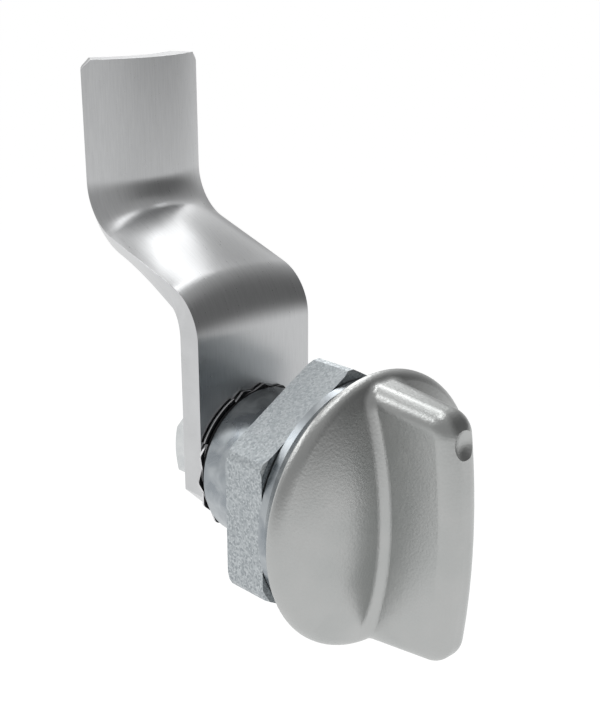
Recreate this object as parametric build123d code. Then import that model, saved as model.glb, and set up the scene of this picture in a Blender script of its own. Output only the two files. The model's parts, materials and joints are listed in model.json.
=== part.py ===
from build123d import *

import os
from math import cos, degrees, pi, radians, sin, sqrt, tan

# Quarter-turn cam latch, in millimetres.
# The turning axis is Y. The knob looks along -Y, the cam points up along +Z, X is to the right.
# The origin is on the axis, in the plane where the flange seats on the panel.

# Housing: a flange with a round barrel behind it
barrel_diameter = 18.4
barrel_length = 15.3
barrel_end_chamfer = 0.2
flange_diameter = 28.4
flange_thickness = 2.6
flange_chamfer = 1.6

# Rear pocket of the barrel, which holds the spring and the stop
pocket_diameter = 15.0
pocket_depth = 6.8
stop_pocket_diameter = 16.6
stop_pocket_depth = 2.6

# Running and assembly clearances
bore_clearance = 0.05
thread_clearance = 0.03
slip_clearance = 0.05
face_clearance = 0.1
washer_clearance = 0.2
stop_clearance = 0.3

# Knob: a domed disc with a wing across it and the spindle in one casting
knob_diameter = 32.0
knob_gap = 0.4
rim_thickness = 1.4
rim_front_radius = 1.5
rim_back_radius = 0.35
dome_rise = 3.3
wing_reach = 9.0
wing_root_margin = 0.5
wing_end_draft = 1.2
wing_root_thickness = 5.8
wing_tip_thickness = 4.7
wing_arch_radius = 86.0
wing_corner_radius = 2.8
wing_edge_radius = 2.0
wing_root_fillet = 1.2
mark_diameter = 3.3
mark_depth = 0.6
mark_height = 11.6

# Spindle behind the knob
spindle_diameter = 11.0
square_across = 8.0
clip_groove_depth = 0.5
seal_groove_depth = 1.3
seal_section = 1.5
seal_first = 1.6
seal_spacing = 3.4
seal_count = 2

# Flat seals
knob_seal_inner_diameter = 13.4
knob_seal_width = 1.7
knob_seal_groove = 1.2
gasket_outer_diameter = 26.4
gasket_inner_diameter = 19.2
gasket_groove = 0.85
gasket_thickness = 1.0

# Hexagon nut
nut_across_flats = 27.0
nut_thickness = 5.8
nut_corner_diameter = 30.7
nut_back_chamfer = 0.4
nut_front_chamfer = 0.2
nut_lead_in = 0.5
hexagon_chamfer_angle = 30.0

# Parts on the spindle inside the pocket
thrust_washer_thickness = 0.6
wave_spring_height = 1.5
wave_spring_sheet = 0.3
wave_count = 3
points_per_wave = 8
clip_thickness = 1.0
clip_width = 1.5
clip_opening = 50.0
clip_eye_diameter = 1.9
clip_hole_diameter = 0.7
stop_disc_thickness = 1.6
stop_disc_diameter = 14.0
lug_width_angle = 20.0
lug_reach = 8.0
quarter_turn = 90.0

# Toothed washer between the barrel and the cam
toothed_ring_diameter = 17.8
toothed_tip_diameter = 19.3
toothed_sheet = 0.3
tooth_count = 18
tooth_base_width = 2.8
tooth_tip_width = 0.5
tooth_root_depth = 0.5
tooth_twist = 8.0

# Cam: a pressed strip, flat at its base, cranked to the rear and crowned towards its tip
cam_width = 17.4
cam_thickness = 3.2
cam_gap = 0.8
cam_length = 46.7
cam_end = 8.5
cam_end_chamfer = 6.1
cam_tip_chamfer = 1.05
cam_crank = 17.6
cam_crown_radius = 15.0
cam_slope_angle = 72.0
cam_bend_start = 16.45
cam_lower_radius = 6.4
cam_upper_radius = 6.5
flattest_crown = 0.001
blend_stations = 10

# Cam screw and its washers
screw_diameter = 6.0
screw_across_flats = 10.0
screw_face_diameter = 9.5
screw_head_height = 4.0
screw_length = 12.0
screw_tip_chamfer = 0.6
tapped_hole_runout = 1.0
plain_washer_diameter = 12.5
plain_washer_thickness = 1.0
spring_washer_diameter = 11.0
spring_washer_thickness = 1.5
spring_washer_slit = 1.0
spring_washer_slant = 25.0

# How far a cutting shape runs past what it cuts, and a joined shape into what it joins
overcut = 1.0
overlap = 0.6

# The most of a straight edge that a fillet takes up, where an earlier fillet has left little of it
fillet_share = 0.9

# Places along the axis that follow from the sizes above
flange_front = -flange_thickness
knob_back = flange_front - knob_gap
rim_front = knob_back - rim_thickness
dome_top = rim_front - dome_rise
wing_root = knob_back - overlap
wing_front = dome_top - wing_reach
pocket_floor = barrel_length - pocket_depth
stop_floor = barrel_length - stop_pocket_depth
cam_front = barrel_length + cam_gap
cam_back = cam_front + cam_thickness
spindle_end = cam_back - stop_clearance
nut_front = gasket_thickness - gasket_groove
wave_front = pocket_floor + thrust_washer_thickness + face_clearance
clip_front = wave_front + wave_spring_height
clip_back = clip_front + clip_thickness
stop_front = clip_back + slip_clearance
plain_front = cam_back
spring_front = plain_front + plain_washer_thickness
head_front = spring_front + spring_washer_thickness

# Heights of the wing, which runs across the whole disc
wing_root_height = knob_diameter - 2 * wing_root_margin
wing_tip_height = wing_root_height - 2 * wing_end_draft

# Radii that several pieces share
bore_radius = spindle_diameter / 2 + bore_clearance
pocket_radius = pocket_diameter / 2


def turned(points):
    """A solid turned about the Y axis from a closed outline of (radius, y) points."""
    return revolve(make_face(Polyline(*points, close=True)), Axis.Y)


def ring(inner_radius, outer_radius, front, back):
    """A flat ring about the Y axis, from y = front to y = back."""
    corners = [(inner_radius, front), (outer_radius, front), (outer_radius, back), (inner_radius, back)]
    return turned(corners)


def rod(radius, front, back):
    """A plain cylinder about the Y axis, from y = front to y = back."""
    return turned([(0, front), (radius, front), (radius, back), (0, back)])


def plate(outline, front, back):
    """A front-view outline, drawn with X to the right and Z up, filled from y = front to y = back."""
    face = Plane(origin=(0, front, 0), x_dir=(1, 0, 0), z_dir=(0, -1, 0)) * outline
    return extrude(face, amount=back - front, dir=(0, 1, 0))


def turn(shape, angle):
    """Turns a shape about the Y axis, from +Z towards +X."""
    return Rot(0, angle, 0) * shape


def sector(inner_radius, outer_radius, front, back, start, end):
    """Part of a ring between two angles, counted from +Z towards +X."""
    outline = make_face(Polyline((inner_radius, front), (outer_radius, front), (outer_radius, back),
                                 (inner_radius, back), close=True))
    return turn(revolve(outline, Axis.Y, end - start), start - 90)


def hexagon(across_flats):
    """A hexagon with a corner up and a flat to each side."""
    return RegularPolygon(across_flats / 2, 6, major_radius=False, rotation=90)


def square_hole(front, back):
    """The square hole that fits the spindle's end."""
    side = square_across + 2 * slip_clearance
    return plate(Rectangle(side, side), front, back)


def build_housing():
    """Flange and barrel, with the spindle bore, the seal grooves and the stepped rear pocket."""
    flange_radius = flange_diameter / 2
    barrel_radius = barrel_diameter / 2
    body = turned([
        (0, flange_front),
        (flange_radius - flange_chamfer, flange_front),
        (flange_radius, flange_front + flange_chamfer),
        (flange_radius, 0),
        (barrel_radius, 0),
        (barrel_radius, barrel_length - barrel_end_chamfer),
        (barrel_radius - barrel_end_chamfer, barrel_length),
        (0, barrel_length),
    ])
    rear = barrel_length + overcut
    body -= rod(bore_radius, flange_front - overcut, rear)
    body -= rod(pocket_radius, pocket_floor, rear)
    seal_inner = knob_seal_inner_diameter / 2
    seal_outer = seal_inner + knob_seal_width
    body -= ring(seal_inner, seal_outer, flange_front - overcut, flange_front + knob_seal_groove)
    body -= ring(gasket_inner_diameter / 2, gasket_outer_diameter / 2, -gasket_groove, overcut)
    slack = degrees(stop_clearance / lug_reach)
    start = 180 - lug_width_angle / 2 - slack
    end = 180 + quarter_turn + lug_width_angle / 2 + slack
    body -= sector(bore_radius, stop_pocket_diameter / 2, stop_floor, rear, start, end)
    return body


def build_knob_disc():
    """The round disc: flat behind, domed in front, with a rounded rim."""
    radius = knob_diameter / 2
    sphere_radius = (radius ** 2 + dome_rise ** 2) / (2 * dome_rise)
    half_way = radius / 2
    half_way_y = dome_top + sphere_radius - sqrt(sphere_radius ** 2 - half_way ** 2)
    outline = [
        Line((0, knob_back), (radius, knob_back)),
        Line((radius, knob_back), (radius, rim_front)),
        ThreePointArc((radius, rim_front), (half_way, half_way_y), (0, dome_top)),
        Line((0, dome_top), (0, knob_back)),
    ]
    face = make_face(outline)
    front_corner = face.vertices().sort_by(Axis.X)[-2:].sort_by(Axis.Y)[0]
    face = fillet(front_corner, rim_front_radius)
    straight_rim = face.edges().sort_by(Axis.X)[-1].length
    back_corner = face.vertices().sort_by(Axis.X)[-2:].sort_by(Axis.Y)[-1]
    face = fillet(back_corner, min(rim_back_radius, fillet_share * straight_rim))
    return revolve(face, Axis.Y)


def wing_arch(height):
    """Where the arched front of the wing stands along the axis, at a height above or below the axis."""
    return wing_front + wing_arch_radius - sqrt(wing_arch_radius ** 2 - height ** 2)


def build_wing():
    """The grip: a slab across the disc, drafted on all sides, with an arched front and soft edges."""
    half_root = wing_root_height / 2
    half_tip = wing_tip_height / 2
    tip = wing_arch(half_tip)
    outline = make_face([
        Line((wing_root, -half_root), (tip, -half_tip)),
        ThreePointArc((tip, -half_tip), (wing_front, 0), (tip, half_tip)),
        Line((tip, half_tip), (wing_root, half_root)),
        Line((wing_root, half_root), (wing_root, -half_root)),
    ])
    outline = fillet(outline.vertices().sort_by(Axis.X)[:2], wing_corner_radius)
    slab = extrude(Plane.YZ * outline, amount=wing_root_thickness, both=True)
    back = Plane(origin=(0, wing_root, 0), x_dir=(1, 0, 0), z_dir=(0, -1, 0))
    front = Plane(origin=(0, wing_front, 0), x_dir=(1, 0, 0), z_dir=(0, -1, 0))
    tall = wing_root_height + 2 * overcut
    slab &= loft([back * Rectangle(wing_root_thickness, tall), front * Rectangle(wing_tip_thickness, tall)])
    grip_edges = [edge for edge in slab.edges() if is_grip_edge(edge)]
    return fillet(grip_edges, wing_edge_radius)


def is_grip_edge(edge):
    """True for the edges that run round the slab's two side faces, apart from those at its root."""
    at_side = abs(edge.center().X) > wing_tip_thickness / 4
    at_root = edge.bounding_box().min.Y > (wing_root + wing_front) / 2
    return at_side and not at_root


def build_spindle():
    """The turned stem behind the disc: seal grooves, clip groove, square end and tapped hole."""
    radius = spindle_diameter / 2
    outside = radius + overcut
    stem = rod(radius, knob_back - overlap, spindle_end)
    stem -= ring(radius - clip_groove_depth, outside, clip_front, clip_back)
    for place in seal_places():
        stem -= ring(radius - seal_groove_depth, outside, place - seal_section / 2, place + seal_section / 2)
    waste = rod(outside, stop_front, spindle_end + overcut)
    waste -= plate(Rectangle(square_across, square_across), stop_front - overcut, spindle_end + 2 * overcut)
    stem -= waste
    hole_floor = head_front - screw_length - tapped_hole_runout
    return stem - rod(screw_diameter / 2 + thread_clearance, hole_floor, spindle_end + overcut)


def build_knob():
    """Disc, wing and spindle as one casting, with the root of the wing filleted into the dome."""
    disc = build_knob_disc()
    wing = build_wing()
    knob = disc + wing
    root_edges = new_edges(disc, wing, combined=knob)
    knob = fillet(root_edges, wing_root_fillet)
    mark_radius = (mark_diameter ** 2 / 4 + mark_depth ** 2) / (2 * mark_depth)
    mark_centre = wing_arch(mark_height) - mark_radius + mark_depth
    knob -= Pos(0, mark_centre, mark_height) * Sphere(mark_radius)
    return knob + build_spindle()


def seal_places():
    """Positions along the axis of the round seals on the spindle."""
    return [seal_first + i * seal_spacing for i in range(seal_count)]


def build_spindle_seal(place):
    """A round-section seal ring that fills its groove and reaches the bore."""
    section_radius = (seal_groove_depth - slip_clearance) / 2
    middle = spindle_diameter / 2 - section_radius
    return revolve(Pos(middle, place) * Circle(section_radius), Axis.Y)


def build_knob_seal():
    """The flat seal in the flange's front groove, just short of the knob."""
    inner = knob_seal_inner_diameter / 2 + slip_clearance
    outer = knob_seal_inner_diameter / 2 + knob_seal_width - slip_clearance
    return ring(inner, outer, knob_back + face_clearance, flange_front + knob_seal_groove)


def build_panel_gasket():
    """The flat gasket in the flange's rear groove, which the panel squeezes."""
    inner = gasket_inner_diameter / 2 + slip_clearance
    outer = gasket_outer_diameter / 2 - slip_clearance
    return ring(inner, outer, -gasket_groove, gasket_thickness - gasket_groove)


def build_nut():
    """A hexagon nut with a corner up, its corners turned off round, with a slight chamfer at both faces."""
    back = nut_front + nut_thickness
    corner = nut_corner_diameter / 2
    face = corner - nut_back_chamfer
    slope = tan(radians(hexagon_chamfer_angle))
    blank = turned([
        (0, nut_front),
        (corner - nut_front_chamfer / slope, nut_front),
        (corner, nut_front + nut_front_chamfer),
        (corner, back - (corner - face) * slope),
        (face, back),
        (0, back),
    ])
    bore = barrel_diameter / 2 + thread_clearance
    mouth = bore + nut_lead_in + overcut
    cutter = turned([
        (0, nut_front - overcut),
        (mouth, nut_front - overcut),
        (bore, nut_front + nut_lead_in),
        (bore, back - nut_lead_in),
        (mouth, back + overcut),
        (0, back + overcut),
    ])
    return (plate(hexagon(nut_across_flats), nut_front, back) & blank) - cutter


def build_thrust_washer():
    """The plain washer on the pocket floor that the spring turns against."""
    inner = bore_radius + slip_clearance
    return ring(inner, pocket_radius - slip_clearance, pocket_floor, pocket_floor + thrust_washer_thickness)


def build_wave_spring():
    """A waved sheet ring: one rise and fall for each wave, squeezed between washer and clip."""
    swing = (wave_spring_height - wave_spring_sheet - slip_clearance) / 2
    middle = wave_front + swing
    steps = points_per_wave * wave_count

    def wavy_edge(radius):
        points = []
        for i in range(steps):
            angle = 2 * pi * i / steps
            height = middle + swing * cos(wave_count * angle)
            points.append((radius * cos(angle), height, radius * sin(angle)))
        return Edge.make_spline([Vector(*point) for point in points], periodic=True)

    inner_edge = wavy_edge(spindle_diameter / 2 + slip_clearance)
    outer_edge = wavy_edge(pocket_radius - slip_clearance)
    sheet = Face.make_surface_from_curves(inner_edge, outer_edge)
    return extrude(sheet, amount=wave_spring_sheet, dir=(0, 1, 0))


def build_retaining_ring():
    """A sprung clip in the spindle's groove, open at one side, with an eye at each end."""
    inner = spindle_diameter / 2 - clip_groove_depth + slip_clearance
    front = clip_front + slip_clearance
    back = clip_back - slip_clearance
    half = clip_opening / 2
    clip = sector(inner, inner + clip_width, front, back, half, 360 - half)
    eye_place = Pos(0, 0, inner + clip_width / 2)
    eye = eye_place * plate(Circle(clip_eye_diameter / 2), front, back)
    eye -= rod(spindle_diameter / 2 + slip_clearance, front - overcut, back + overcut)
    hole = eye_place * plate(Circle(clip_hole_diameter / 2), front - overcut, back + overcut)
    for angle in (-half, half):
        clip += turn(eye, angle)
        clip -= turn(hole, angle)
    return clip


def build_stop_disc():
    """The disc on the spindle's square, with the one lug that meets the ends of the stop pocket."""
    back = stop_front + stop_disc_thickness
    disc = rod(stop_disc_diameter / 2, stop_front, back)
    half = lug_width_angle / 2
    front = max(stop_front, stop_floor + face_clearance)
    disc += sector(square_across / 2, lug_reach, front, back, 180 - half, 180 + half)
    return disc - square_hole(stop_front - overcut, back + overcut)


def build_toothed_washer():
    """A lock washer with pointed, twisted teeth round its outside, between the barrel and the cam."""
    middle = barrel_length + cam_gap / 2
    half_sheet = toothed_sheet / 2
    inner = square_across / 2 * sqrt(2) + slip_clearance
    ring_radius = toothed_ring_diameter / 2
    washer = ring(inner, ring_radius, middle - half_sheet, middle + half_sheet)
    root = ring_radius - tooth_root_depth
    outline = make_face(Polyline(
        (-tooth_base_width / 2, root),
        (tooth_base_width / 2, root),
        (tooth_tip_width / 2, toothed_tip_diameter / 2),
        (-tooth_tip_width / 2, toothed_tip_diameter / 2),
        close=True,
    ))
    tooth = Pos(0, middle, 0) * Rot(0, 0, tooth_twist) * plate(outline, -half_sheet, half_sheet)
    for i in range(tooth_count):
        washer += turn(tooth, 360 / tooth_count * (i + 0.5))
    return washer


def crown_rise(share):
    """How far the strip's middle stands in front of its edges, for a share of the full crown."""
    half = cam_width / 2
    full = cam_crown_radius - sqrt(cam_crown_radius ** 2 - half ** 2)
    return full * share


def strip_section(y, z, lean, share):
    """The strip's cross-section with its front edges at (y, z), leaning back by an angle from upright."""
    half = cam_width / 2
    rise = max(crown_rise(share), flattest_crown)
    radius = (half ** 2 + rise ** 2) / (2 * rise)
    turn_in = half / radius
    back_half = half - cam_thickness * turn_in
    back_edge = -cam_thickness * sqrt(1 - turn_in ** 2)
    outline = [
        ThreePointArc((-half, 0), (0, rise), (half, 0)),
        Line((half, 0), (back_half, back_edge)),
        ThreePointArc((back_half, back_edge), (0, rise - cam_thickness), (-back_half, back_edge)),
        Line((-back_half, back_edge), (-half, 0)),
    ]
    along = (0, -sin(radians(lean)), -cos(radians(lean)))
    return Plane(origin=(0, y, z), x_dir=(1, 0, 0), z_dir=along) * make_face(outline)


def cam_blank():
    """The strip's outline before bending, seen from the front: corners cut off at both ends."""
    half = cam_width / 2
    return make_face(Polyline(
        (-half + cam_end_chamfer, -cam_end),
        (half - cam_end_chamfer, -cam_end),
        (half, -cam_end + cam_end_chamfer),
        (half, cam_length - cam_tip_chamfer),
        (half - cam_tip_chamfer, cam_length),
        (-half + cam_tip_chamfer, cam_length),
        (-half, cam_length - cam_tip_chamfer),
        (-half, -cam_end + cam_end_chamfer),
        close=True,
    ))


def build_cam():
    """Flat base, crowning bend and slope, second bend and tip, trimmed to the blank's outline."""
    lean = radians(cam_slope_angle)
    tip_y = cam_front + cam_crank + crown_rise(1)
    slope_start_y = cam_front + cam_lower_radius * (1 - cos(lean))
    slope_start_z = cam_bend_start + cam_lower_radius * sin(lean)
    slope_end_y = tip_y - cam_upper_radius * (1 - cos(lean))
    slope_length = (slope_end_y - slope_start_y) / sin(lean)
    upper_z = slope_start_z + slope_length * cos(lean) + cam_upper_radius * sin(lean)
    bend_length = cam_lower_radius * lean

    sections = []
    for i in range(blend_stations + 1):
        part = i / blend_stations
        share = part * part * (3 - 2 * part)
        run = part * (bend_length + slope_length)
        angle = min(run / cam_lower_radius, lean)
        beyond = max(run - bend_length, 0)
        y = cam_front + cam_lower_radius * (1 - cos(angle)) + beyond * sin(lean)
        z = cam_bend_start + cam_lower_radius * sin(angle) + beyond * cos(lean)
        sections.append(strip_section(y, z, degrees(angle), share))

    base_outline = Rectangle(cam_width, cam_bend_start + cam_end)
    base = plate(Pos(0, (cam_bend_start - cam_end) / 2) * base_outline, cam_front, cam_back)
    tip_section = strip_section(tip_y, upper_z, 0, 1)
    bend_axis = Axis((0, tip_y - cam_upper_radius, upper_z), (-1, 0, 0))
    bend = revolve(tip_section, bend_axis, cam_slope_angle)
    tip = extrude(tip_section, amount=cam_length - upper_z, dir=(0, 0, 1))
    cam = base + loft(sections) + bend + tip
    cam &= plate(cam_blank(), cam_front - overcut, tip_y + cam_thickness + overcut)
    return cam - square_hole(cam_front - overcut, cam_back + overcut)


def build_plain_washer():
    """The washer that bridges the square hole and clamps the cam."""
    inner = screw_diameter / 2 + washer_clearance
    return ring(inner, plain_washer_diameter / 2, plain_front, spring_front)


def build_spring_washer():
    """A split lock washer, cut through on a slant."""
    inner = screw_diameter / 2 + washer_clearance
    washer = ring(inner, spring_washer_diameter / 2, spring_front, head_front)
    middle = (spring_front + head_front) / 2
    slit = Box(spring_washer_slit, 3 * spring_washer_thickness, spring_washer_diameter)
    slanted = Rot(0, 0, spring_washer_slant) * slit
    return washer - Pos(0, middle, spring_washer_diameter / 2) * slanted


def build_screw():
    """A hexagon head screw, with a chamfered head and a plain shank where its thread runs."""
    back = head_front + screw_head_height
    corner = screw_across_flats / sqrt(3)
    face = screw_face_diameter / 2
    slope = tan(radians(hexagon_chamfer_angle))
    blank = turned([
        (0, head_front),
        (corner, head_front),
        (corner, back - (corner - face) * slope),
        (face, back),
        (0, back),
    ])
    tip = head_front - screw_length
    radius = screw_diameter / 2
    shank = turned([
        (0, tip),
        (radius - screw_tip_chamfer, tip),
        (radius, tip + screw_tip_chamfer),
        (radius, back - overcut),
        (0, back - overcut),
    ])
    return (plate(hexagon(screw_across_flats), head_front, back) & blank) + shank


parts = {
    "housing": build_housing(),
    "wing_knob": build_knob(),
    "knob_seal": build_knob_seal(),
    "panel_gasket": build_panel_gasket(),
    "hex_nut": build_nut(),
    "thrust_washer": build_thrust_washer(),
    "wave_spring": build_wave_spring(),
    "retaining_ring": build_retaining_ring(),
    "stop_disc": build_stop_disc(),
    "toothed_washer": build_toothed_washer(),
    "cam": build_cam(),
    "plain_washer": build_plain_washer(),
    "spring_washer": build_spring_washer(),
    "hex_screw": build_screw(),
}
for number, place in enumerate(seal_places(), start=1):
    parts[f"spindle_seal_{number}"] = build_spindle_seal(place)

os.makedirs("parts", exist_ok=True)
for name, shape in parts.items():
    export_step(shape, f"parts/{name}.step")
    print(name, round(shape.volume, 1), shape.bounding_box().size)
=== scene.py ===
# %% [markdown]
# # A quarter-turn cam latch
# A wing knob in front of a cabinet door turns a cranked steel cam behind it. This lesson dresses the
# measured model of the latch: it gives each metal its real finish, makes the cam and the toothed
# washer again as clean meshes, and sets up a small studio with the camera where the photograph has it.
# The model's nodes arrive in metres, with the turning axis along Y, the knob towards -Y and the cam
# up along Z. Their shapes are right already, so most of them only need a material.

# %% Load the measured model
import json
from math import cos, pi, radians, sin, sqrt

import bmesh
import bpy
from mathutils import Matrix, Vector


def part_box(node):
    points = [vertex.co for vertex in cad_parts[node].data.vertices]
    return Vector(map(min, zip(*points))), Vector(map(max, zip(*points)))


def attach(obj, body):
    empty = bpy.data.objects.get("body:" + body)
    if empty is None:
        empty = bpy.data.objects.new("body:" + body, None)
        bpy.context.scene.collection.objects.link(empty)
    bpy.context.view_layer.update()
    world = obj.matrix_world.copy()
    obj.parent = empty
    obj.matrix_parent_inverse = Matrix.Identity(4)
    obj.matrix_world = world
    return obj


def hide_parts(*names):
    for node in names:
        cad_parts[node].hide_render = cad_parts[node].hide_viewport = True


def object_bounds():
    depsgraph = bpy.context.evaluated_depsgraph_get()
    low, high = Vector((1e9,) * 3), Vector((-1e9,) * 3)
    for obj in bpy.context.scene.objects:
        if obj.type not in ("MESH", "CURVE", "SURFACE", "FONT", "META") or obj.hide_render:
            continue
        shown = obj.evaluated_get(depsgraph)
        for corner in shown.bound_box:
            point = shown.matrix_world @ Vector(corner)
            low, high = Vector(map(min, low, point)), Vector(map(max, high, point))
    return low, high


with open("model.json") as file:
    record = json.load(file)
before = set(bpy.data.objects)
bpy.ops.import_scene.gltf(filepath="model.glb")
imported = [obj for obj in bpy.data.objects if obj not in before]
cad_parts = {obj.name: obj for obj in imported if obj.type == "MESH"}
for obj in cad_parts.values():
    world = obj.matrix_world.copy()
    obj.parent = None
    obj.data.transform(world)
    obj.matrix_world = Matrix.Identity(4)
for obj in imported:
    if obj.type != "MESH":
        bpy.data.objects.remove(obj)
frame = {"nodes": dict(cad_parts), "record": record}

cad_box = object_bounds()
MM = 0.001
print("nodes:", len(frame["nodes"]), "size in mm:", [round(c / MM, 1) for c in cad_box[1] - cad_box[0]])

# %% [markdown]
# ## Three helpers
# Every material and every geometry tree below is a handful of nodes. One function adds a node, sets
# its properties and fills its inputs: a plain value goes onto the socket, and another node's output is
# linked to it. Colours are written as the sRGB hex values that a colour picker shows, and Blender works
# with linear light, so the second function converts them. The third puts a new thing into the scene.

# %% Node, colour and object helpers
def add_node(tree, kind, inputs=(), **settings):
    """Adds a node, sets its properties and its inputs, and returns it."""
    node = tree.nodes.new(kind)
    for name, value in settings.items():
        setattr(node, name, value)
    for name, value in dict(inputs).items():
        if isinstance(value, bpy.types.NodeSocket):
            tree.links.new(value, node.inputs[name])
        else:
            node.inputs[name].default_value = value
    return node


def linear(hex_colour):
    """Turns an sRGB hex colour such as #a0b0c0 into linear RGBA."""
    channels = [int(hex_colour[i:i + 2], 16) / 255 for i in (1, 3, 5)]
    return tuple(c / 12.92 if c <= 0.04045 else ((c + 0.055) / 1.055) ** 2.4 for c in channels) + (1.0,)


def add_object(name, data):
    """Puts a mesh, a lamp or a camera into the scene."""
    thing = bpy.data.objects.new(name, data)
    bpy.context.scene.collection.objects.link(thing)
    return thing


print("mid grey #808080 in linear light:", round(linear("#808080")[0], 3))

# %% [markdown]
# ## Bead-blasted zinc
# The knob is a zinc die casting, blasted with fine glass beads and then plated. Blasting leaves a
# matte skin of dimples, a little softer than orange peel, and makes the highlights wide and grainy. The
# dimples are drawn as a bump from two sizes of noise, because they are far too fine for the mesh. The
# roughness wanders slightly, as beads never hit evenly.
#
# All the finishes below end alike, in one shader with a colour, a roughness and a bump, so two small
# functions do that for all of them.

# %% Material of the knob
def new_material(name):
    """A new material and its empty node tree."""
    material = bpy.data.materials.new(name)
    material.use_nodes = True
    tree = material.node_tree
    tree.nodes.clear()
    return material, tree


def per_metre(size_mm):
    """The scale of a pattern whose features are size_mm wide."""
    return 1 / (size_mm * MM)


def set_stops(ramp, *stops):
    """Sets the place and the colour of a colour ramp's two stops."""
    for element, (place, colour) in zip(ramp.color_ramp.elements, stops):
        element.position = place
        element.color = linear(colour)


def finish_skin(tree, colour, metallic, rough, bump):
    """Ends a tree in one shader with that colour, roughness and bump, and its output."""
    skin = add_node(tree, "ShaderNodeBsdfPrincipled", {
        "Base Color": colour.outputs["Color"], "Metallic": metallic,
        "Roughness": rough.outputs["Result"], "Normal": bump.outputs["Normal"]})
    add_node(tree, "ShaderNodeOutputMaterial", {"Surface": skin.outputs["BSDF"]})


# real dimples are about a tenth of a millimetre wide, too fine for the picture, so they are drawn wider
DIMPLE_MM = 0.28
LUMP_MM = 1.1
CLOUD_MM = 6.0


def blasted_zinc():
    """Zinc die casting, bead blasted: satin, with fine soft dimples."""
    material, tree = new_material("zinc_die_casting_bead_blasted")
    place = add_node(tree, "ShaderNodeTexCoord").outputs["Object"]
    grain = add_node(tree, "ShaderNodeTexNoise", {
        "Vector": place, "Scale": per_metre(DIMPLE_MM), "Detail": 3.0})
    lumps = add_node(tree, "ShaderNodeTexNoise", {
        "Vector": place, "Scale": per_metre(LUMP_MM), "Detail": 2.0})
    clouds = add_node(tree, "ShaderNodeTexNoise", {
        "Vector": place, "Scale": per_metre(CLOUD_MM), "Detail": 2.0})
    colour = add_node(tree, "ShaderNodeValToRGB", {"Fac": clouds.outputs["Fac"]})
    set_stops(colour, (0.3, "#b1b3b2"), (0.7, "#b8b9b8"))
    rough = add_node(tree, "ShaderNodeMapRange", {
        "Value": grain.outputs["Fac"], "To Min": 0.27, "To Max": 0.37})
    low = add_node(tree, "ShaderNodeBump", {
        "Height": lumps.outputs["Fac"], "Strength": 0.12, "Distance": 0.06 * MM})
    high = add_node(tree, "ShaderNodeBump", {
        "Height": grain.outputs["Fac"], "Normal": low.outputs["Normal"],
        "Strength": 0.6, "Distance": 0.04 * MM})
    finish_skin(tree, colour, 1.0, rough, high)
    return material


knob_metal = blasted_zinc()
print("made", knob_metal.name)

# %% [markdown]
# ## Bright zinc plate
# The housing and the small hardware are smooth and zinc plated, with a clear blue passivation that
# cools the metal a little. Plate follows what is under it: the turned barrel is smooth, but its plating
# clouds in patches a few millimetres wide, which blur the reflections here and there.

# %% Material of the housing and the small hardware
PATCH_MM = 2.6


def clouded_metal(name, dark, light, smooth, cloudy):
    """Smooth metal between two colours, with cloudy patches between two roughness values."""
    material, tree = new_material(name)
    place = add_node(tree, "ShaderNodeTexCoord").outputs["Object"]
    patches = add_node(tree, "ShaderNodeTexNoise", {
        "Vector": place, "Scale": per_metre(PATCH_MM), "Detail": 3.0, "Distortion": 0.6})
    colour = add_node(tree, "ShaderNodeValToRGB", {"Fac": patches.outputs["Fac"]})
    set_stops(colour, (0.35, dark), (0.65, light))
    rough = add_node(tree, "ShaderNodeMapRange", {
        "Value": patches.outputs["Fac"], "From Min": 0.3, "From Max": 0.7,
        "To Min": smooth, "To Max": cloudy})
    ripple = add_node(tree, "ShaderNodeBump", {
        "Height": patches.outputs["Fac"], "Strength": 0.15, "Distance": 0.03 * MM})
    finish_skin(tree, colour, 1.0, rough, ripple)
    return material


housing_metal = clouded_metal("zinc_plate_clear_passivated", "#8f959a", "#b2b7ba", 0.24, 0.38)
fastener_metal = clouded_metal("zinc_plate_bright", "#c4c7c8", "#d6d8d8", 0.18, 0.30)
print("made", housing_metal.name, "and", fastener_metal.name)

# %% [markdown]
# ## Galvanised steel
# The nut was dipped in molten zinc, which freezes into small crystals, the spangle. Each crystal
# catches the light at its own angle, so the flats look like cool grey frost. Cells about a quarter of a
# millimetre wide, each with its own tone, are laid out with Voronoi noise. A finer noise breaks up
# their edges, and the same cells tilt the surface slightly.

# %% Material of the nut
CRYSTAL_MM = 0.22
FROST_MM = 0.16
WOBBLE_MM = 0.5
WOBBLE_REACH = 0.2 * MM


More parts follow.
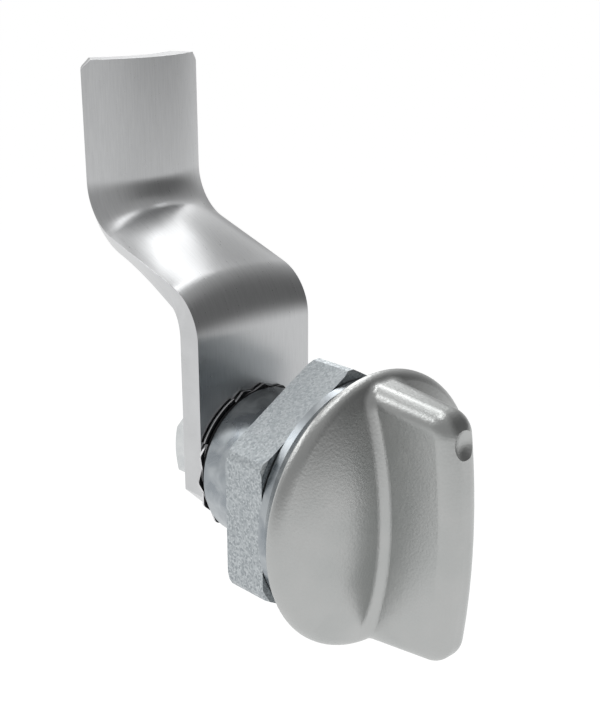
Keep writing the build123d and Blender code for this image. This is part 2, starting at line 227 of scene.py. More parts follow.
def galvanised_steel():
    """Hot-dip galvanised steel with a fine spangle."""
    material, tree = new_material("galvanised_steel_fine_spangle")
    place = add_node(tree, "ShaderNodeTexCoord").outputs["Object"]
    wobble = add_node(tree, "ShaderNodeTexNoise", {
        "Vector": place, "Scale": per_metre(WOBBLE_MM), "Detail": 2.0})
    shift = add_node(tree, "ShaderNodeVectorMath", {0: wobble.outputs["Color"], "Scale": WOBBLE_REACH},
                     operation="SCALE")
    bent = add_node(tree, "ShaderNodeVectorMath", {0: place, 1: shift.outputs["Vector"]}, operation="ADD")
    cells = add_node(tree, "ShaderNodeTexVoronoi", {
        "Vector": bent.outputs["Vector"], "Scale": per_metre(CRYSTAL_MM)})
    tone = add_node(tree, "ShaderNodeSeparateColor", {"Color": cells.outputs["Color"]})
    frost = add_node(tree, "ShaderNodeTexNoise", {
        "Vector": place, "Scale": per_metre(FROST_MM), "Detail": 4.0, "Roughness": 0.65})
    mixed = add_node(tree, "ShaderNodeMath", {0: tone.outputs["Red"], 1: frost.outputs["Fac"]},
                     operation="ADD")
    share = add_node(tree, "ShaderNodeMapRange", {
        "Value": mixed.outputs[0], "From Min": 0.4, "From Max": 1.6})
    colour = add_node(tree, "ShaderNodeValToRGB", {"Fac": share.outputs["Result"]})
    set_stops(colour, (0.0, "#999fa3"), (1.0, "#c4c9cb"))
    rough = add_node(tree, "ShaderNodeMapRange", {
        "Value": share.outputs["Result"], "To Min": 0.5, "To Max": 0.36})
    grain = add_node(tree, "ShaderNodeBump", {
        "Height": share.outputs["Result"], "Strength": 0.25, "Distance": 0.03 * MM})
    finish_skin(tree, colour, 1.0, rough, grain)
    return material


nut_metal = galvanised_steel()
print("made", nut_metal.name)

# %% [markdown]
# ## Pressed steel strip
# The cam is pressed from cold-rolled strip and tumbled, so it has a close satin polish. Its rolling
# marks run along the strip, much longer than they are wide: a noise that is stretched along Z and Y
# gives them. They change the colour and the roughness only a little, and the bump is very slight, so
# that the broad reflections of the studio stay clean.

# %% Material of the cam
# real rolling marks are a few hundredths of a millimetre wide, too fine for the picture, so they are
# drawn wider
MARK_MM = 0.16
GRIT_MM = 0.2
MARK_STRETCH = 0.06


def satin_steel():
    """Cold-rolled strip, tumbled to a satin polish, with faint marks along its length."""
    material, tree = new_material("cold_rolled_steel_satin")
    place = add_node(tree, "ShaderNodeTexCoord").outputs["Object"]
    stretched = add_node(tree, "ShaderNodeMapping", {
        "Vector": place, "Scale": (1.0, MARK_STRETCH, MARK_STRETCH)})
    marks = add_node(tree, "ShaderNodeTexNoise", {
        "Vector": stretched.outputs["Vector"], "Scale": per_metre(MARK_MM), "Detail": 3.0})
    grit = add_node(tree, "ShaderNodeTexNoise", {
        "Vector": place, "Scale": per_metre(GRIT_MM), "Detail": 2.0})
    both = add_node(tree, "ShaderNodeMath", {0: marks.outputs["Fac"], 1: grit.outputs["Fac"]},
                    operation="ADD")
    colour = add_node(tree, "ShaderNodeValToRGB", {"Fac": marks.outputs["Fac"]})
    set_stops(colour, (0.3, "#c2c3c4"), (0.7, "#cacbcc"))
    rough = add_node(tree, "ShaderNodeMapRange", {
        "Value": both.outputs[0], "From Min": 0.6, "From Max": 1.4, "To Min": 0.27, "To Max": 0.32})
    relief = add_node(tree, "ShaderNodeBump", {
        "Height": both.outputs[0], "Strength": 0.015, "Distance": 0.01 * MM})
    finish_skin(tree, colour, 1.0, rough, relief)
    return material


cam_metal = satin_steel()
print("made", cam_metal.name)

# %% [markdown]
# ## Blackened spring steel and rubber
# Lock washers and retaining rings are spring steel with a black oxide skin, which is thin, slightly
# oily and satin. Where the sheet was sheared, the edge is bright. The seals are moulded rubber: nearly
# black, matte, with a faint bloom that lightens it in patches. Both are dark with patches, so one
# function makes both, and the patches are drawn about half a millimetre wide, coarser than real ones, so
# that they show in the picture.

# %% Materials of the small dark pieces
def dark_finish(name, dark, light, metallic, rough_low, rough_high, patch_mm):
    """A dark finish with fine patches between two colours and two roughness values."""
    material, tree = new_material(name)
    place = add_node(tree, "ShaderNodeTexCoord").outputs["Object"]
    patches = add_node(tree, "ShaderNodeTexNoise", {
        "Vector": place, "Scale": per_metre(patch_mm), "Detail": 4.0})
    colour = add_node(tree, "ShaderNodeValToRGB", {"Fac": patches.outputs["Fac"]})
    set_stops(colour, (0.35, dark), (0.7, light))
    rough = add_node(tree, "ShaderNodeMapRange", {
        "Value": patches.outputs["Fac"], "To Min": rough_low, "To Max": rough_high})
    relief = add_node(tree, "ShaderNodeBump", {
        "Height": patches.outputs["Fac"], "Strength": 0.2, "Distance": 0.02 * MM})
    finish_skin(tree, colour, metallic, rough, relief)
    return material


sheared_steel = clouded_metal("spring_steel_sheared_edge", "#c4c4c6", "#dcdcde", 0.22, 0.34)
black_oxide = dark_finish("spring_steel_black_oxide", "#1d1d1f", "#2b2b2d", 0.6, 0.28, 0.42, 0.4)
seal_rubber = dark_finish("seal_rubber_moulded", "#1c1c1c", "#2a2a29", 0.0, 0.55, 0.75, 0.6)
print("made", sheared_steel.name, black_oxide.name, "and", seal_rubber.name)

# %% [markdown]
# ## Dress the measured nodes
# The knob, the housing, the nut and the small hardware have their real form already, with smooth
# normals, so they keep their meshes. Each one only swaps the plain material that it came with.

# %% Give every node its finish
FINISHES = {
    "blasted_metal": knob_metal,
    "plated_housing": housing_metal,
    "galvanised_nut": nut_metal,
    "cam_steel": cam_metal,
    "plated_steel": fastener_metal,
    "black_spring_steel": black_oxide,
    "seal_rubber": seal_rubber,
}
for part in frame["record"]["subparts"]:
    for slot in frame["nodes"][part["node"]].material_slots:
        slot.material = FINISHES[part["material_slot"]]

# %% [markdown]
# ## Running a geometry tree
# The cam and the toothed washer follow rules, so Geometry Nodes make them. A tree is built in the
# script, with a named input for each size. An empty mesh carries the modifier, its inputs are set by
# their identifiers before Blender looks at it for the first time, and the result is kept as a plain mesh.

# %% Geometry tree helpers
def new_tree(name, sizes):
    """A geometry tree with a number input for each named size."""
    tree = bpy.data.node_groups.new(name, "GeometryNodeTree")
    for size in sizes:
        tree.interface.new_socket(size, in_out="INPUT", socket_type="NodeSocketFloat")
    tree.interface.new_socket("Geometry", in_out="OUTPUT", socket_type="NodeSocketGeometry")
    return tree, add_node(tree, "NodeGroupInput").outputs


def add_rule(carrier, tree, sizes):
    """Puts the tree on the carrier as a modifier, with its sizes."""
    modifier = carrier.modifiers.new("rule", "NODES")
    modifier.node_group = tree
    for item in tree.interface.items_tree:
        if item.name in sizes:
            modifier[item.identifier] = sizes[item.name]


def keep_result(carrier):
    """Turns what the carrier's modifiers make into its own plain mesh and removes them."""
    bpy.context.view_layer.update()
    mesh = bpy.data.meshes.new_from_object(carrier.evaluated_get(bpy.context.evaluated_depsgraph_get()))
    carrier.modifiers.clear()
    carrier.data = mesh


print("geometry helpers ready")

# %% [markdown]
# ## The cam
# The cam starts as a flat strip with its corners cut off. The press bends it away from the door and
# back again, and crowns it across its width, a little more with every millimetre from the first bend
# to the second, so that the tip is stiff and slides over the edge of the frame.
#
# It could be modelled by pushing vertices about, but its shape is a rule: how far a point is along the
# strip says where it is, how much the strip leans there and how high the crown stands. So the tree
# starts from a flat grid, X across and Y along the strip, and moves every point of its front face by
# that rule. Solidify gives it the thickness of the strip, and a small bevel its tumbled edges.

# %% Sizes of the cam, read from the measured one
cam_low, cam_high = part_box("cam")
THICKNESS = 3.2 * MM
BASE_CRANK = 17.6 * MM
LEAN = radians(72)
CAM = {
    "Width": 2 * cam_high.x,
    "Base": cam_low.z,
    "Front": cam_low.y,
    "Bend": 16.45 * MM,
    "Lower Radius": 6.4 * MM,
    "Upper Radius": 6.5 * MM,
    "Crown Radius": 15.0 * MM,
    "End Chamfer": 6.1 * MM,
    "Tip Chamfer": 1.05 * MM,
}
half_width = CAM["Width"] / 2
CROWN = CAM["Crown Radius"] - sqrt(CAM["Crown Radius"] ** 2 - half_width ** 2)
CRANK = BASE_CRANK + CROWN
bends = (CAM["Lower Radius"] + CAM["Upper Radius"]) * (1 - cos(LEAN))
CAM["Slope"] = (CRANK - bends) / sin(LEAN)
CAM["Lean"] = LEAN
rise = (CAM["Lower Radius"] + CAM["Upper Radius"]) * sin(LEAN) + CAM["Slope"] * cos(LEAN)
tip_length = cam_high.z - CAM["Bend"] - rise
bend_lengths = (CAM["Lower Radius"] + CAM["Upper Radius"]) * LEAN
CAM["Length"] = CAM["Bend"] - CAM["Base"] + bend_lengths + CAM["Slope"] + tip_length
print("strip length before bending in mm:", round(CAM["Length"] / MM, 1))

# %% [markdown]
# The tree follows the strip in four steps. It cuts the outline, finds how far each point has come
# through the two bends and the slope between them, adds up how far back and up that takes it, and
# raises the crown.

# %% The tree that bends and crowns the strip
POINTS_ACROSS = 57
POINTS_ALONG = 233


def cam_tree():
    """A flat grid, moved to the front face of the bent and crowned strip."""
    tree, size = new_tree("cam_front_face", CAM)
    half = add_node(tree, "ShaderNodeMath", {0: size["Width"], 1: 0.5}, operation="MULTIPLY")
    grid = add_node(tree, "GeometryNodeMeshGrid", {
        "Size X": size["Width"], "Size Y": size["Length"],
        "Vertices X": POINTS_ACROSS, "Vertices Y": POINTS_ALONG})
    point = add_node(tree, "GeometryNodeInputPosition")
    flat = add_node(tree, "ShaderNodeSeparateXYZ", {0: point.outputs[0]})
    middle = add_node(tree, "ShaderNodeMath", {0: size["Length"], 1: 0.5}, operation="MULTIPLY")
    run = add_node(tree, "ShaderNodeMath", {0: flat.outputs["Y"], 1: middle.outputs[0]}, operation="ADD")

    # the outline: both ends get narrower over the length of their chamfers
    to_end = add_node(tree, "ShaderNodeMath", {0: size["End Chamfer"], 1: run.outputs[0]},
                      operation="SUBTRACT")
    left = add_node(tree, "ShaderNodeMath", {0: size["Length"], 1: run.outputs[0]}, operation="SUBTRACT")
    to_tip = add_node(tree, "ShaderNodeMath", {0: size["Tip Chamfer"], 1: left.outputs[0]},
                      operation="SUBTRACT")
    end_cut = add_node(tree, "ShaderNodeMath", {0: to_end.outputs[0], 1: 0.0}, operation="MAXIMUM")
    tip_cut = add_node(tree, "ShaderNodeMath", {0: to_tip.outputs[0], 1: 0.0}, operation="MAXIMUM")
    cut = add_node(tree, "ShaderNodeMath", {0: end_cut.outputs[0], 1: tip_cut.outputs[0]}, operation="ADD")
    kept = add_node(tree, "ShaderNodeMath", {0: half.outputs[0], 1: cut.outputs[0]}, operation="SUBTRACT")
    across = add_node(tree, "ShaderNodeMapRange", {
        "Value": flat.outputs["X"], "From Min": 0.0, "From Max": half.outputs[0],
        "To Min": 0.0, "To Max": kept.outputs[0]}, clamp=False)

    # how far a point has come through the first bend, the slope, the second bend and the tip
    first = add_node(tree, "ShaderNodeMath", {0: size["Bend"], 1: size["Base"]}, operation="SUBTRACT")
    past = add_node(tree, "ShaderNodeMath", {0: run.outputs[0], 1: first.outputs[0]}, operation="SUBTRACT")
    lower_arc = add_node(tree, "ShaderNodeMath", {0: size["Lower Radius"], 1: size["Lean"]},
                         operation="MULTIPLY")
    upper_arc = add_node(tree, "ShaderNodeMath", {0: size["Upper Radius"], 1: size["Lean"]},
                         operation="MULTIPLY")
    slope_end = add_node(tree, "ShaderNodeMath", {0: lower_arc.outputs[0], 1: size["Slope"]},
                         operation="ADD")
    tip_start = add_node(tree, "ShaderNodeMath", {0: slope_end.outputs[0], 1: upper_arc.outputs[0]},
                         operation="ADD")
    lower = add_node(tree, "ShaderNodeMapRange", {
        "Value": past.outputs[0], "From Max": lower_arc.outputs[0], "To Max": size["Lean"]})
    slope = add_node(tree, "ShaderNodeMapRange", {
        "Value": past.outputs[0], "From Min": lower_arc.outputs[0], "From Max": slope_end.outputs[0],
        "To Max": size["Slope"]})
    upper = add_node(tree, "ShaderNodeMapRange", {
        "Value": past.outputs[0], "From Min": slope_end.outputs[0], "From Max": tip_start.outputs[0],
        "To Max": size["Lean"]})
    after = add_node(tree, "ShaderNodeMath", {0: past.outputs[0], 1: tip_start.outputs[0]},
                     operation="SUBTRACT")
    before = add_node(tree, "ShaderNodeMath", {0: past.outputs[0], 1: 0.0}, operation="MINIMUM")
    tip = add_node(tree, "ShaderNodeMath", {0: after.outputs[0], 1: 0.0}, operation="MAXIMUM")
    lean = add_node(tree, "ShaderNodeMath", {0: lower.outputs[0], 1: upper.outputs[0]},
                    operation="SUBTRACT")
    to_upright = add_node(tree, "ShaderNodeMath", {0: size["Lean"], 1: upper.outputs[0]},
                          operation="SUBTRACT")

    # every bend and straight adds a step back along Y and a step up along Z
    def step(length, angle, function):
        """The length times the sine or cosine of the angle."""
        turned = add_node(tree, "ShaderNodeMath", {0: angle}, operation=function)
        return add_node(tree, "ShaderNodeMath", {0: length, 1: turned.outputs[0]},
                        operation="MULTIPLY").outputs[0]

    def total(added, taken):
        """The sum of the added values less the taken ones."""
        value = added[0]
        for more in added[1:]:
            value = add_node(tree, "ShaderNodeMath", {0: value, 1: more}, operation="ADD").outputs[0]
        for less in taken:
            value = add_node(tree, "ShaderNodeMath", {0: value, 1: less}, operation="SUBTRACT").outputs[0]
        return value

    low, up = size["Lower Radius"], size["Upper Radius"]
    back = total([size["Front"], low, step(slope.outputs[0], size["Lean"], "SINE"),
                  step(up, to_upright.outputs[0], "COSINE")],
                 [step(low, lower.outputs[0], "COSINE"), step(up, size["Lean"], "COSINE")])
    height = total([size["Bend"], before.outputs[0], step(low, lower.outputs[0], "SINE"),
                    step(slope.outputs[0], size["Lean"], "COSINE"), step(up, size["Lean"], "SINE"),
                    tip.outputs[0]],
                   [step(up, to_upright.outputs[0], "SINE")])

    # the crown: an arc across the strip, raised along the face's normal by a share that grows smoothly
    share = add_node(tree, "ShaderNodeMapRange", {
        "Value": past.outputs[0], "From Max": slope_end.outputs[0]}, interpolation_type="SMOOTHSTEP")
    radius = add_node(tree, "ShaderNodeMath", {0: size["Crown Radius"], 1: 2.0}, operation="POWER")
    heights = []
    for side in (across.outputs[0], half.outputs[0]):
        square = add_node(tree, "ShaderNodeMath", {0: side, 1: side}, operation="MULTIPLY")
        rest = add_node(tree, "ShaderNodeMath", {0: radius.outputs[0], 1: square.outputs[0]},
                        operation="SUBTRACT")
        heights.append(add_node(tree, "ShaderNodeMath", {0: rest.outputs[0]}, operation="SQRT").outputs[0])
    arc = add_node(tree, "ShaderNodeMath", {0: heights[0], 1: heights[1]}, operation="SUBTRACT")
    crown = add_node(tree, "ShaderNodeMath", {0: arc.outputs[0], 1: share.outputs[0]}, operation="MULTIPLY")
    y = total([back], [step(crown.outputs[0], lean.outputs[0], "COSINE")])
    z = total([height, step(crown.outputs[0], lean.outputs[0], "SINE")], [])
    place = add_node(tree, "ShaderNodeCombineXYZ", {"X": across.outputs[0], "Y": y, "Z": z})
    moved = add_node(tree, "GeometryNodeSetPosition", {
        "Geometry": grid.outputs["Mesh"], "Position": place.outputs[0]})
    smooth = add_node(tree, "GeometryNodeSetShadeSmooth", {
        "Geometry": moved.outputs[0], "Shade Smooth": True})
    real = add_node(tree, "GeometryNodeRealizeInstances", {"Geometry": smooth.outputs[0]})
    coated = add_node(tree, "GeometryNodeSetMaterial", {
        "Geometry": real.outputs[0], "Material": cam_metal})
    add_node(tree, "NodeGroupOutput", {"Geometry": coated.outputs[0]})
    return tree


cam_rule = cam_tree()
print("nodes in the cam's tree:", len(cam_rule.nodes))

# %% [markdown]
# The strip's thickness goes backwards from its front face. The square hole that fits the spindle is cut
# with a square bar, which is thrown away afterwards. Tumbling takes off only the burr of the sheared
# edges: a bevel of a few hundredths of a millimetre stands for that.

# %% The cam's solid
HOLE_ACROSS = 8.1 * MM
EDGE_ROUNDING = 0.03 * MM
SHEARED_CORNER = radians(35)
SHARP_CORNER = radians(20)


def square_bar(across, front, back):
    """A square bar along Y, for cutting."""
    mesh = bpy.data.meshes.new("square_bar")
    shape = bmesh.new()
    bmesh.ops.create_cube(shape, size=1)
    bmesh.ops.scale(shape, vec=(across, back - front, across), verts=shape.verts)
    bmesh.ops.translate(shape, vec=(0, (front + back) / 2, 0), verts=shape.verts)
    shape.to_mesh(mesh)
    shape.free()
    return add_object("square_bar", mesh)


def faces_front(piece):
    """True if the faces of an open mesh look towards -Y on the whole."""
    return sum(face.normal.y * face.area for face in piece.data.polygons) < 0


def make_cam():
    """Bends and crowns the strip, thickens it, cuts its hole and rounds its edges."""
    cam = add_object("cranked_cam", bpy.data.meshes.new("cranked_cam"))
    add_rule(cam, cam_rule, CAM)
    keep_result(cam)
    wall = cam.modifiers.new("thickness", "SOLIDIFY")
    wall.thickness = THICKNESS
    wall.offset = -1 if faces_front(cam) else 1
    wall.use_even_offset = True
    bar = square_bar(HOLE_ACROSS, CAM["Front"] - MM, CAM["Front"] + THICKNESS + MM)
    hole = cam.modifiers.new("hole", "BOOLEAN")
    hole.operation = "DIFFERENCE"
    hole.solver = "EXACT"
    hole.object = bar
    edge = cam.modifiers.new("tumbled edges", "BEVEL")
    edge.width = EDGE_ROUNDING
    edge.segments = 2
    edge.limit_method = "ANGLE"
    edge.angle_limit = SHEARED_CORNER
    edge.use_clamp_overlap = False
    keep_result(cam)
    bpy.data.objects.remove(bar)
    cam.data.set_sharp_from_angle(angle=SHARP_CORNER)
    return cam


cam = make_cam()
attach(cam, "rotor")
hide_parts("cam")
print("cam faces:", len(cam.data.polygons))

# %% [markdown]
# ## The toothed lock washer
# The lock washer is a thin ring of spring steel with pointed teeth round its rim. Each tooth is twisted a
# little about its own length, so that its corners bite into the cam and the screw can't shake loose.
# Sixteen teeth and two empty places share the circle, 20 degrees apart. Over the empty places the rim
# is plain, and the whole ring is clamped a little off centre, up and to the left: the photo shows both.

# %% Sizes of the washer, seated where the measured one is
washer_low, washer_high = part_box("toothed_washer")
WASHER = {
    "Inner Radius": 6.1 * MM,
    "Ring Radius": 8.8 * MM,
    "Root Radius": 8.7 * MM,
    "Tip Radius": washer_high.x - 0.35 * MM,
    "Base Width": 3.0 * MM,
    "Tip Width": 0.3 * MM,
    "Sheet": 0.3 * MM,
    "Twist": radians(3),
    "Teeth": 16,
    "Pitch": radians(20),
    "First Tooth": radians(-13),
    "Plain Start": radians(113),
    "Plain Sweep": radians(40),
    "Off Centre X": -0.25 * MM,
    "Off Centre Z": 0.3 * MM,
    "Middle": (washer_low.y + washer_high.y) / 2,
}
print("tooth tips at a radius in mm:", round(WASHER["Tip Radius"] / MM, 2))

# %% [markdown]
# One tooth is a box that narrows towards its tip. The rest is repetition, which would be tedious by hand,
# so the tree shapes one tooth, sets it round a circle and adds the ring. The punch sheared the blackened
# sheet, so every face that doesn't look along the axis is left bright.

# %% The tree that repeats the tooth
RING_STEPS = 144
STRETCH_STEPS = 16
# a face looks along the axis if at least this share of its normal does
ALONG_AXIS = 0.7


def washer_tree():
    """A ring in the XZ plane with twisted, pointed teeth and a plain stretch round its rim."""
    tree, size = new_tree("toothed_washer", WASHER)

    # one tooth: a unit box, stretched from the root to the tip along Z and narrowed on the way
    point = add_node(tree, "GeometryNodeInputPosition")
    corner = add_node(tree, "ShaderNodeSeparateXYZ", {0: point.outputs[0]})
    width = add_node(tree, "ShaderNodeMapRange", {
        "Value": corner.outputs["Z"], "From Min": -0.5, "From Max": 0.5,
        "To Min": size["Base Width"], "To Max": size["Tip Width"]})
    radius = add_node(tree, "ShaderNodeMapRange", {
        "Value": corner.outputs["Z"], "From Min": -0.5, "From Max": 0.5,
        "To Min": size["Root Radius"], "To Max": size["Tip Radius"]})
    across = add_node(tree, "ShaderNodeMath", {0: corner.outputs["X"], 1: width.outputs[0]},
                      operation="MULTIPLY")
    through = add_node(tree, "ShaderNodeMath", {0: corner.outputs["Y"], 1: size["Sheet"]},
                       operation="MULTIPLY")
    place = add_node(tree, "ShaderNodeCombineXYZ", {
        "X": across.outputs[0], "Y": through.outputs[0], "Z": radius.outputs[0]})
    box = add_node(tree, "GeometryNodeMeshCube")
    wedge = add_node(tree, "GeometryNodeSetPosition", {
        "Geometry": box.outputs["Mesh"], "Position": place.outputs[0]})
    twist = add_node(tree, "ShaderNodeCombineXYZ", {"Z": size["Twist"]})
    tooth = add_node(tree, "GeometryNodeTransform", {
        "Geometry": wedge.outputs[0], "Rotation": twist.outputs[0]})

    # the first tooth stands a little left of the top, and the others follow clockwise, one pitch apart
    points = add_node(tree, "GeometryNodePoints", {"Count": size["Teeth"]})
    number = add_node(tree, "GeometryNodeInputIndex").outputs[0]
    turned = add_node(tree, "ShaderNodeMath", {0: number, 1: size["Pitch"]}, operation="MULTIPLY")
    angle = add_node(tree, "ShaderNodeMath", {0: turned.outputs[0], 1: size["First Tooth"]},
                     operation="ADD")
    around = add_node(tree, "ShaderNodeCombineXYZ", {"Y": angle.outputs[0]})
    teeth = add_node(tree, "GeometryNodeInstanceOnPoints", {
        "Points": points.outputs[0], "Instance": tooth.outputs[0], "Rotation": around.outputs[0]})

    # the ring, and the plain stretch of its rim, which is as high as the teeth
    def band(inner, outer, path_kind, path_inputs):
        """A flat band of sheet between two radii: its section swept along a circle or an arc."""
        both_radii = add_node(tree, "ShaderNodeMath", {0: inner, 1: outer}, operation="ADD")
        middle = add_node(tree, "ShaderNodeMath", {0: both_radii.outputs[0], 1: 0.5}, operation="MULTIPLY")
        breadth = add_node(tree, "ShaderNodeMath", {0: outer, 1: inner}, operation="SUBTRACT")
        path = add_node(tree, path_kind, {"Radius": middle.outputs[0], **path_inputs})
        section = add_node(tree, "GeometryNodeCurvePrimitiveQuadrilateral", {
            "Width": breadth.outputs[0], "Height": size["Sheet"]})
        return add_node(tree, "GeometryNodeCurveToMesh", {
            "Curve": path.outputs[0], "Profile Curve": section.outputs[0], "Fill Caps": True}).outputs[0]

    bands = add_node(tree, "GeometryNodeJoinGeometry")
    tree.links.new(band(size["Inner Radius"], size["Ring Radius"], "GeometryNodeCurvePrimitiveCircle", {
        "Resolution": RING_STEPS}), bands.inputs[0])
    tree.links.new(band(size["Root Radius"], size["Tip Radius"], "GeometryNodeCurveArc", {
        "Resolution": STRETCH_STEPS + 1, "Start Angle": size["Plain Start"],
        "Sweep Angle": size["Plain Sweep"]}), bands.inputs[0])
    ring = add_node(tree, "GeometryNodeTransform", {
        "Geometry": bands.outputs[0], "Rotation": (pi / 2, 0, 0)})

    # all of it goes to its seat, and the sheared faces are left bright
    whole = add_node(tree, "GeometryNodeJoinGeometry")
    tree.links.new(ring.outputs[0], whole.inputs[0])
    tree.links.new(teeth.outputs[0], whole.inputs[0])
    seat = add_node(tree, "ShaderNodeCombineXYZ", {
        "X": size["Off Centre X"], "Y": size["Middle"], "Z": size["Off Centre Z"]})
    seated = add_node(tree, "GeometryNodeTransform", {
        "Geometry": whole.outputs[0], "Translation": seat.outputs[0]})
    real = add_node(tree, "GeometryNodeRealizeInstances", {"Geometry": seated.outputs[0]})
    black = add_node(tree, "GeometryNodeSetMaterial", {
        "Geometry": real.outputs[0], "Material": black_oxide})
    normal = add_node(tree, "GeometryNodeInputNormal")
    looks = add_node(tree, "ShaderNodeSeparateXYZ", {0: normal.outputs[0]})
    facing = add_node(tree, "ShaderNodeMath", {0: looks.outputs["Y"]}, operation="ABSOLUTE")
    sheared = add_node(tree, "ShaderNodeMath", {0: facing.outputs[0], 1: ALONG_AXIS},
                       operation="LESS_THAN")
    edged = add_node(tree, "GeometryNodeSetMaterial", {
        "Geometry": black.outputs[0], "Selection": sheared.outputs[0], "Material": sheared_steel})
    add_node(tree, "NodeGroupOutput", {"Geometry": edged.outputs[0]})
    return tree


washer = add_object("lock_washer", bpy.data.meshes.new("lock_washer"))
add_rule(washer, washer_tree(), WASHER)
keep_result(washer)
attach(washer, "rotor")
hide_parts("toothed_washer")
print("washer faces:", len(washer.data.polygons), "teeth:", WASHER["Teeth"])

# %% [markdown]
# ## The studio
# The latch hangs in the air over a plain pale floor, as it does in the photograph. Polished metal shows
# what stands around it, so the studio is built for its reflections: white all round, four soft panels
# above and behind the latch, and grey screens in front, to the right, low behind and overhead, which
# draw the dark bands into the bends. The floor and the world are white wherever a camera or a reflection
# looks, and the floor keeps the latch's shadow: a white glow is added to what the lamps give it, and
# only the lamps' share is shaded.

# %% Floor and world
LAMP_SHARE = 0.22
WORLD_AS_LIGHT = 0.55


def seen_or_mirrored(tree):
    """1 where a camera, a reflection or a view through glass looks, and 0 for a lighting ray."""
    ray = add_node(tree, "ShaderNodeLightPath").outputs
    seen = add_node(tree, "ShaderNodeMath", {0: ray["Is Camera Ray"], 1: ray["Is Glossy Ray"]},
                    operation="MAXIMUM")
    return add_node(tree, "ShaderNodeMath", {0: seen.outputs[0], 1: ray["Is Transmission Ray"]},
                    operation="MAXIMUM").outputs[0]


def white_world():
    """A world that is plain white wherever it is seen, and gentler as a light."""
    world = bpy.data.worlds.new("studio")
    world.use_nodes = True
    tree = world.node_tree
    tree.nodes.clear()
    strength = add_node(tree, "ShaderNodeMapRange", {
        "Value": seen_or_mirrored(tree), "To Min": WORLD_AS_LIGHT, "To Max": 1.0})
    light = add_node(tree, "ShaderNodeBackground", {
        "Color": linear("#ffffff"), "Strength": strength.outputs[0]})
    add_node(tree, "ShaderNodeOutputWorld", {"Surface": light.outputs[0]})
    return world


def white_paper():
    """Matte white paper that glows just enough to melt into the white world."""
    material, tree = new_material("white_paper")
    paper = add_node(tree, "ShaderNodeBsdfPrincipled", {
        "Base Color": linear("#aaaaaa"), "Roughness": 0.9, "Specular IOR Level": 0.0})
    strength = add_node(tree, "ShaderNodeMath", {0: seen_or_mirrored(tree), 1: 1 - LAMP_SHARE},
                        operation="MULTIPLY")
    glow = add_node(tree, "ShaderNodeEmission", {
        "Color": linear("#ffffff"), "Strength": strength.outputs[0]})
    both = add_node(tree, "ShaderNodeAddShader", {0: paper.outputs[0], 1: glow.outputs[0]})
    add_node(tree, "ShaderNodeOutputMaterial", {"Surface": both.outputs[0]})
    return material


def square_sheet(name, size):
    """A flat square in the XY plane that looks along +Z."""
    mesh = bpy.data.meshes.new(name)
    half = size / 2
    corners = [(-half, -half, 0), (half, -half, 0), (half, half, 0), (-half, half, 0)]
    mesh.from_pydata(corners, [], [(0, 1, 2, 3)])
    return add_object(name, mesh)


FLOOR_SIZE = 200.0
FLOOR_GAP = 160 * MM
bpy.context.scene.world = white_world()
floor = square_sheet("floor", FLOOR_SIZE)
floor.location.z = cad_box[0].z - FLOOR_GAP
floor.data.materials.append(white_paper())
print("floor at z in mm:", round(floor.location.z / MM, 1))

# %% [markdown]
# Each panel or screen is placed by the way it is seen from the latch: its bearing, counted from the
# knob's side (-Y) towards the right (+X), its elevation above the horizon, and its distance. A panel's
# brightness is what a mirror would show, where 1 is white, so its power follows from its area.

# %% Soft panels
CENTRE = Vector((0, 8.4 * MM, 14.5 * MM))


def direction(bearing, elevation):
    """The direction from the latch at a bearing from -Y towards +X, and an elevation, in degrees."""
    flat = cos(radians(elevation))
    return Vector((sin(radians(bearing)) * flat, -cos(radians(bearing)) * flat, sin(radians(elevation))))


def looking_back(centre, bearing, elevation, distance, roll):
    """The placement of a lamp or a camera at that distance from the centre, which looks back at it."""
    toward = direction(bearing, elevation)
    turn = toward.to_track_quat("Z", "Y").to_matrix() @ Matrix.Rotation(radians(roll), 3, "Z")
    return Matrix.Translation(centre + toward * distance) @ turn.to_4x4()


def soft_panel(name, bearing, elevation, distance, width, height, brightness, roll):
    """A softbox: an area lamp that faces the latch, with the given brightness and roll in degrees."""
    data = bpy.data.lights.new(name, "AREA")
    data.shape = "RECTANGLE"
    data.size = width
    data.size_y = height
    data.energy = brightness * pi * width * height
    add_object(name, data).matrix_world = looking_back(CENTRE, bearing, elevation, distance, roll)


# name, bearing, elevation, distance, width and height in metres, brightness and roll
PANELS = (
    ("panel_overhead", 130, 67.6, 0.43, 0.21, 0.065, 2.8, 50),
    ("panel_zenith", -165, 78.5, 0.43, 0.15, 0.14, 2.3, -15),
    ("panel_back_right", 139.5, 38.5, 0.43, 0.125, 0.25, 2.4, 0),
    ("panel_back_left", -141, 44, 0.43, 0.20, 0.14, 2.4, 0),
)
for panel in PANELS:
    soft_panel(*panel)
print("panels:", len(PANELS))

# %% [markdown]
# A screen is a piece of a large sphere round the latch. Its cloth has one shade, which thins out towards
# its sides, its foot and its top, so that no reflection ends in a hard line. Only metal sees it.

# %% Curved screens
SCREEN_COLUMNS, SCREEN_ROWS = 24, 12


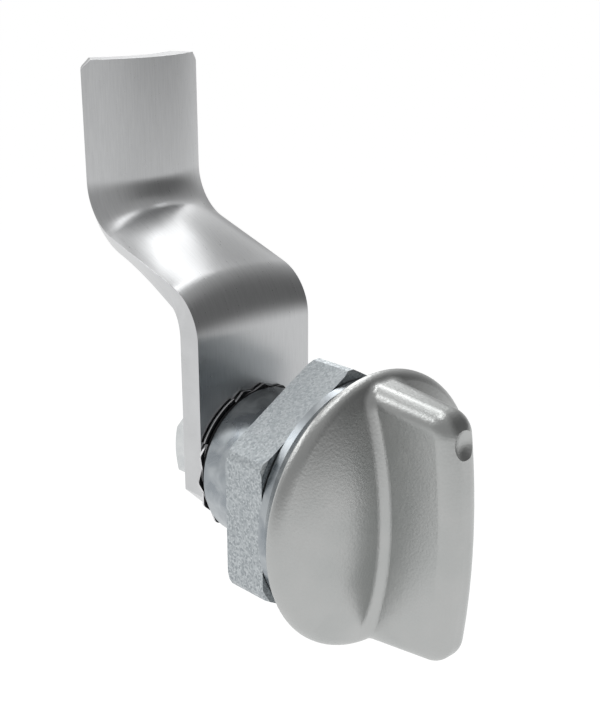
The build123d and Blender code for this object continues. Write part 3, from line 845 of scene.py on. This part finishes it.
def soft_cloth(name, shade, side, foot, top):
    """Cloth of one shade that thins out towards its sides, its foot and its top."""
    material, tree = new_material(name)
    uv = add_node(tree, "ShaderNodeTexCoord").outputs["UV"]
    place = add_node(tree, "ShaderNodeSeparateXYZ", {0: uv})
    offset = add_node(tree, "ShaderNodeMath", {0: place.outputs["X"], 1: 0.5}, operation="SUBTRACT")
    away = add_node(tree, "ShaderNodeMath", {0: offset.outputs[0]}, operation="ABSOLUTE")
    density = 1.0
    for value, thin, full in ((away.outputs[0], 0.5, side), (place.outputs["Y"], 0.0, foot),
                              (place.outputs["Y"], 1.0, top)):
        fade = add_node(tree, "ShaderNodeMapRange", {"Value": value, "From Min": thin, "From Max": full},
                        interpolation_type="SMOOTHSTEP")
        density = add_node(tree, "ShaderNodeMath", {0: density, 1: fade.outputs[0]},
                           operation="MULTIPLY").outputs[0]
    cloth = add_node(tree, "ShaderNodeEmission", {"Color": linear(shade)})
    clear = add_node(tree, "ShaderNodeBsdfTransparent")
    mix = add_node(tree, "ShaderNodeMixShader", {0: density, 1: clear.outputs[0], 2: cloth.outputs[0]})
    add_node(tree, "ShaderNodeOutputMaterial", {"Surface": mix.outputs[0]})
    return material


def screen(name, bearings, elevations, distance, cloth):
    """A curved screen between two bearings and two elevations, which only reflections show."""
    points, faces, places = [], [], []
    for row in range(SCREEN_ROWS + 1):
        for column in range(SCREEN_COLUMNS + 1):
            u, v = column / SCREEN_COLUMNS, row / SCREEN_ROWS
            bearing = bearings[0] + u * (bearings[1] - bearings[0])
            elevation = elevations[0] + v * (elevations[1] - elevations[0])
            points.append(CENTRE + direction(bearing, elevation) * distance)
            places.append((u, v))
    for row in range(SCREEN_ROWS):
        for column in range(SCREEN_COLUMNS):
            first = row * (SCREEN_COLUMNS + 1) + column
            above = first + SCREEN_COLUMNS + 1
            faces.append((first, first + 1, above + 1, above))
    mesh = bpy.data.meshes.new(name)
    mesh.from_pydata(points, [], faces)
    layer = mesh.uv_layers.new(name="UVMap")
    for loop in mesh.loops:
        layer.data[loop.index].uv = places[loop.vertex_index]
    mesh.materials.append(cloth)
    sheet = add_object(name, mesh)
    sheet.visible_camera = False
    sheet.visible_diffuse = False
    sheet.visible_shadow = False


# name, bearings, elevations and distance, and the cloth: its name and shade, and as shares of its UV map
# how far its full part reaches to each side of the middle, where that part starts and where it ends
SCREENS = (
    ("screen_front_right", (-25, 115), (-13, 70), 0.47, "dark_cloth", "#707070", 0.086, 0.32, 0.7),
    ("screen_front", (-150, 140), (-18, 90), 0.50, "grey_cloth", "#b3b3b3", 0.36, 0.32, 0.999),
    ("screen_back", (105, 175), (-6, 17), 0.54, "low_cloth", "#a8a8a8", 0.3, 0.35, 0.6),
    ("ceiling", (-180, 180), (46, 90), 0.52, "ceiling_cloth", "#b8b8b8", 0.499, 0.35, 0.999),
)
for name, bearings, elevations, distance, *cloth in SCREENS:
    screen(name, bearings, elevations, distance, soft_cloth(*cloth))
print("screens:", len(SCREENS))

# %% [markdown]
# ## The camera
# The photograph was taken close up, from the knob's side, left of it and a little above. Its bearing,
# height, distance and lens were worked out from the circles of the knob, the flange and the barrel.

# %% Camera at the photograph's place
CAMERA_BEARING = -43.656
CAMERA_ELEVATION = 18.859
CAMERA_ROLL = -0.103
CAMERA_DISTANCE = 143.51 * MM
AIM = Vector((0, 8.407 * MM, 14.543 * MM))
LENS = 62.82
SENSOR = 36.0
CLIP_START = 5 * MM
CLIP_END = 500.0


def place_camera():
    """A close camera with the photograph's viewing angle."""
    data = bpy.data.cameras.new("camera")
    data.lens = LENS
    data.sensor_width = SENSOR
    data.clip_start = CLIP_START
    data.clip_end = CLIP_END
    camera = add_object("camera", data)
    camera.matrix_world = looking_back(AIM, CAMERA_BEARING, CAMERA_ELEVATION, CAMERA_DISTANCE, CAMERA_ROLL)
    return camera


bpy.context.scene.camera = place_camera()
bpy.context.scene.view_settings.view_transform = "Standard"
print("camera at, in mm:", [round(c / MM, 1) for c in bpy.context.scene.camera.matrix_world.translation])
